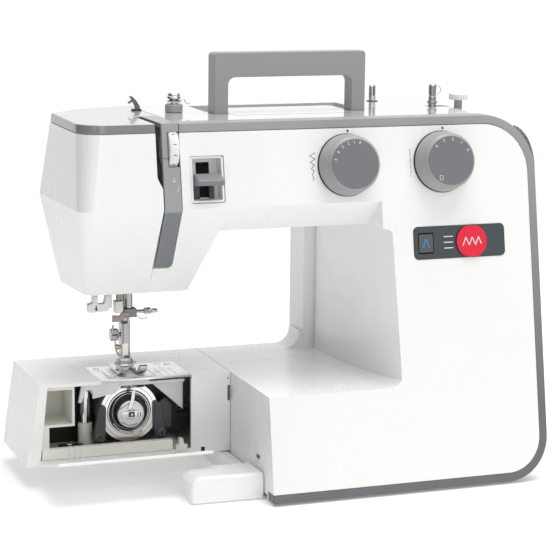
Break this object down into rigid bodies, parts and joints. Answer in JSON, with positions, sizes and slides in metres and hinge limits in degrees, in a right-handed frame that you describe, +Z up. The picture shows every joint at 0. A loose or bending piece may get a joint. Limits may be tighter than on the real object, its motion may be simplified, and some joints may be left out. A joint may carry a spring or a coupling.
{
  "type": "sewing machine",
  "caption": "Free-arm domestic sewing machine with a leaning front, two round stitch dials, a folding carry handle and an opened drop-down shuttle cover.",
  "frame": {"origin": "centre of the bounding box's footprint, on the surface it stands on", "axes": "+Z up, +X to the right seen from the front, the front faces -Y"},
  "size_m": [0.419, 0.1997, 0.345],
  "materials": {
    "white_plastic": "gloss",
    "grey_plastic": "satin",
    "glossy_grey_plastic": "gloss",
    "dark_plastic": "satin",
    "black_plastic": "satin",
    "slate_panel": "gloss",
    "cream_plastic": "satin",
    "steel": "polished",
    "cast_metal": "cast",
    "sheet_steel": "satin",
    "rubber": "matte",
    "brass": "polished"
  },
  "bodies": {
    "body": {"front_cover": "white_plastic", "rear_cover": "white_plastic", "trim_band": "grey_plastic", "face_cover": "white_plastic", "head_cap": "grey_plastic", "top_cover": "glossy_grey_plastic", "display_panel": "slate_panel", "lever_recess": "cream_plastic", "thread_strip": "grey_plastic", "base_plate": "sheet_steel", "front_left_foot": "rubber", "front_right_foot": "rubber", "rear_left_foot": "rubber", "rear_right_foot": "rubber", "left_foot_block": "white_plastic", "arm_cover": "white_plastic", "arm_tray": "cream_plastic", "needle_plate": "steel", "arm_casting": "cast_metal", "race_body": "cast_metal", "race_ring": "steel", "bobbin_case": "steel", "upper_frame": "cast_metal", "motor": "dark_plastic", "drive_belt": "rubber", "winder_tension_guide": "steel", "winder_stopper": "white_plastic", "thread_guide": "brass", "power_inlet": "black_plastic", "sewing_lamp": "white_plastic"},
    "needle_bar": {"needle_bar": "steel", "needle_clamp": "black_plastic", "clamp_screw": "steel", "needle": "steel"},
    "take_up": {"take_up_lever": "steel"},
    "hook": {"shuttle_hook": "steel"},
    "lower_shaft": {"lower_shaft": "steel"},
    "bobbin": {"bobbin": "black_plastic"},
    "feed": {"feed_dog": "steel"},
    "presser": {"presser_bar": "steel", "presser_ankle": "steel", "presser_foot": "steel"},
    "lifter": {"presser_lifter": "black_plastic"},
    "threader": {"needle_threader": "white_plastic"},
    "drive": {"handwheel": "dark_plastic", "main_shaft": "steel"},
    "motor_pulley": {"motor_pulley": "steel"},
    "handle": {"carry_handle": "grey_plastic"},
    "width_dial": {"stitch_width_dial": "grey_plastic"},
    "length_dial": {"stitch_length_dial": "grey_plastic"},
    "tension": {"tension_dial": "white_plastic"},
    "reverse": {"reverse_lever": "grey_plastic"},
    "pattern_knob": {"pattern_dial": "dark_plastic"},
    "pattern_drum": {"pattern_drum": "black_plastic"},
    "hook_cover": {"hook_cover": "white_plastic"},
    "left_latch": {"left_race_latch": "black_plastic"},
    "right_latch": {"right_race_latch": "black_plastic"},
    "spool_pin": {"spool_pin": "steel"},
    "winder": {"winder_spindle": "steel"},
    "switch": {"power_switch": "black_plastic"}
  },
  "joints": [
    {"name": "needle_bar_stroke", "type": "slide", "parent": "body", "child": "needle_bar", "axis": [0, 0, 1], "range_m": [-0.028, 0.004]},
    {"name": "take_up_swing", "type": "hinge", "parent": "body", "child": "take_up", "pos_m": [-0.1172, 0.01, 0.215], "axis": [1, 0, 0], "range_deg": [-4.5, 28.5]},
    {"name": "hook_turn", "type": "hinge", "parent": "body", "child": "hook", "pos_m": [-0.1215, 0.0204, 0.054], "axis": [0, 1, 0], "range_deg": [-77.5, 11.5]},
    {"name": "lower_shaft_turn", "type": "hinge", "parent": "body", "child": "lower_shaft", "pos_m": [0, 0.0744, 0.04], "axis": [1, 0, 0], "range_deg": [-11.5, 77.5]},
    {"name": "bobbin_spin", "type": "hinge", "parent": "body", "child": "bobbin", "pos_m": [-0.1215, 0.0204, 0.054], "axis": [0, 1, 0], "continuous": true},
    {"name": "feed_travel", "type": "slide", "parent": "body", "child": "feed", "axis": [0, 1, 0], "range_m": [-0.0015, 0.0015]},
    {"name": "presser_lift_lever", "type": "hinge", "parent": "body", "child": "lifter", "pos_m": [-0.113, 0.0825, 0.164], "axis": [0, 1, 0], "range_deg": [-28, 0]},
    {"name": "presser_travel", "type": "slide", "parent": "body", "child": "presser", "axis": [0, 0, 1], "range_m": [0, 0.006]},
    {"name": "threader_pull", "type": "slide", "parent": "body", "child": "threader", "axis": [0, 0, 1], "range_m": [-0.028, 0], "stiffness_N_per_m": 30, "springref_m": 0.002},
    {"name": "handwheel_turn", "type": "hinge", "parent": "body", "child": "drive", "pos_m": [0, -0.009, 0.246], "axis": [1, 0, 0], "continuous": true},
    {"name": "motor_pulley_turn", "type": "hinge", "parent": "body", "child": "motor_pulley", "pos_m": [0, 0.004, 0.058], "axis": [1, 0, 0], "continuous": true},
    {"name": "handle_fold", "type": "hinge", "parent": "body", "child": "handle", "pos_m": [0, 0.018, 0.2878], "axis": [1, 0, 0], "range_deg": [-90, 0]},
    {"name": "width_dial_turn", "type": "hinge", "parent": "body", "child": "width_dial", "pos_m": [0.0364, -0.05416, 0.26], "axis": [0, -0.9848, 0.1736], "range_deg": [-150, 120]},
    {"name": "length_dial_turn", "type": "hinge", "parent": "body", "child": "length_dial", "pos_m": [0.1189, -0.05416, 0.26], "axis": [0, -0.9848, 0.1736], "range_deg": [-150, 120]},
    {"name": "tension_dial_turn", "type": "hinge", "parent": "body", "child": "tension", "pos_m": [-0.105, -0.03929, 0.2757], "axis": [1, 0, 0], "range_deg": [-140, 140]},
    {"name": "reverse_press", "type": "hinge", "parent": "body", "child": "reverse", "pos_m": [-0.08, -0.02139, 0.253], "axis": [1, 0, 0], "range_deg": [0, 13], "stiffness_Nm_per_rad": 0.6, "springref_deg": -1.72},
    {"name": "pattern_knob_turn", "type": "hinge", "parent": "body", "child": "pattern_knob", "pos_m": [0.2, -0.04, 0.15], "axis": [1, 0, 0], "continuous": true},
    {"name": "pattern_drum_turn", "type": "hinge", "parent": "body", "child": "pattern_drum", "pos_m": [0.1, -0.0464, 0.19625], "axis": [1, 0, 0], "continuous": true},
    {"name": "hook_cover_swing", "type": "hinge", "parent": "body", "child": "hook_cover", "pos_m": [0, 0.003, 0.0194], "axis": [1, 0, 0], "range_deg": [-74, 0]},
    {"name": "left_latch_swing", "type": "hinge", "parent": "body", "child": "left_latch", "pos_m": [-0.1479, 0.02, 0.032], "axis": [0, 1, 0], "range_deg": [-28, 0]},
    {"name": "right_latch_swing", "type": "hinge", "parent": "body", "child": "right_latch", "pos_m": [-0.0951, 0.02, 0.032], "axis": [0, 1, 0], "range_deg": [0, 28]},
    {"name": "spool_pin_pull", "type": "slide", "parent": "body", "child": "spool_pin", "axis": [0, 0, 1], "range_m": [0, 0.045]},
    {"name": "winder_engage", "type": "slide", "parent": "body", "child": "winder", "axis": [1, 0, 0], "range_m": [0, 0.01]},
    {"name": "switch_rock", "type": "hinge", "parent": "body", "child": "switch", "pos_m": [0.198, 0.055, 0.052], "axis": [0, 0, 1], "range_deg": [-6, 6]}
  ],
  "couplings": [
    {"joint": "take_up_swing", "follows": "needle_bar_stroke", "rad_per_m": -17.5},
    {"joint": "hook_turn", "follows": "needle_bar_stroke", "rad_per_m": 48},
    {"joint": "lower_shaft_turn", "follows": "needle_bar_stroke", "rad_per_m": -48},
    {"joint": "motor_pulley_turn", "follows": "handwheel_turn", "ratio": 3.7143},
    {"joint": "presser_lift_lever", "follows": "presser_travel", "rad_per_m": -80},
    {"joint": "pattern_drum_turn", "follows": "pattern_knob_turn", "ratio": 1}
  ]
}
